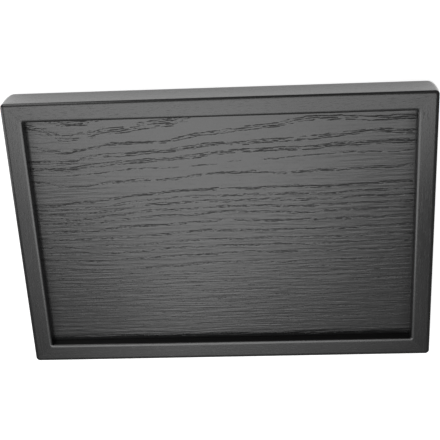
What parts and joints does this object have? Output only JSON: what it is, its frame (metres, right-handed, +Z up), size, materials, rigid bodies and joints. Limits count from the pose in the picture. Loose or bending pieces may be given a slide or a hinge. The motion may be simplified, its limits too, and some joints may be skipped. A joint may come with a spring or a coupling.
{
  "type": "serving tray",
  "caption": "Rectangular serving tray: mitred black wooden rails around a recessed, open-pored black veneered panel, standing on felt pads.",
  "frame": {"origin": "on the table under the middle of the tray, in the plane of the pads' undersides", "axes": "+X along the long rails, from the left rail to the right rail; +Y from the front rail to the back rail; +Z up, out of the tray's well"},
  "size_m": [0.45, 0.315, 0.038],
  "materials": {
    "rail_wood": "black stain under satin lacquer, fine straight grain",
    "panel_veneer": "black stain under satin lacquer, open pores in a flat-cut figure",
    "core_board": "raw fibreboard",
    "tenon_wood": "raw beech",
    "felt": "pressed felt"
  },
  "bodies": {
    "root": {"front_rail": "rail_wood", "right_rail": "rail_wood", "back_rail": "rail_wood", "left_rail": "rail_wood", "face_veneer": "panel_veneer", "panel_core": "core_board", "backing_veneer": "panel_veneer", "front_left_tenon": "tenon_wood", "front_right_tenon": "tenon_wood", "back_right_tenon": "tenon_wood", "back_left_tenon": "tenon_wood", "front_left_pad": "felt", "front_right_pad": "felt", "back_right_pad": "felt", "back_left_pad": "felt"}
  },
  "joints": []
}
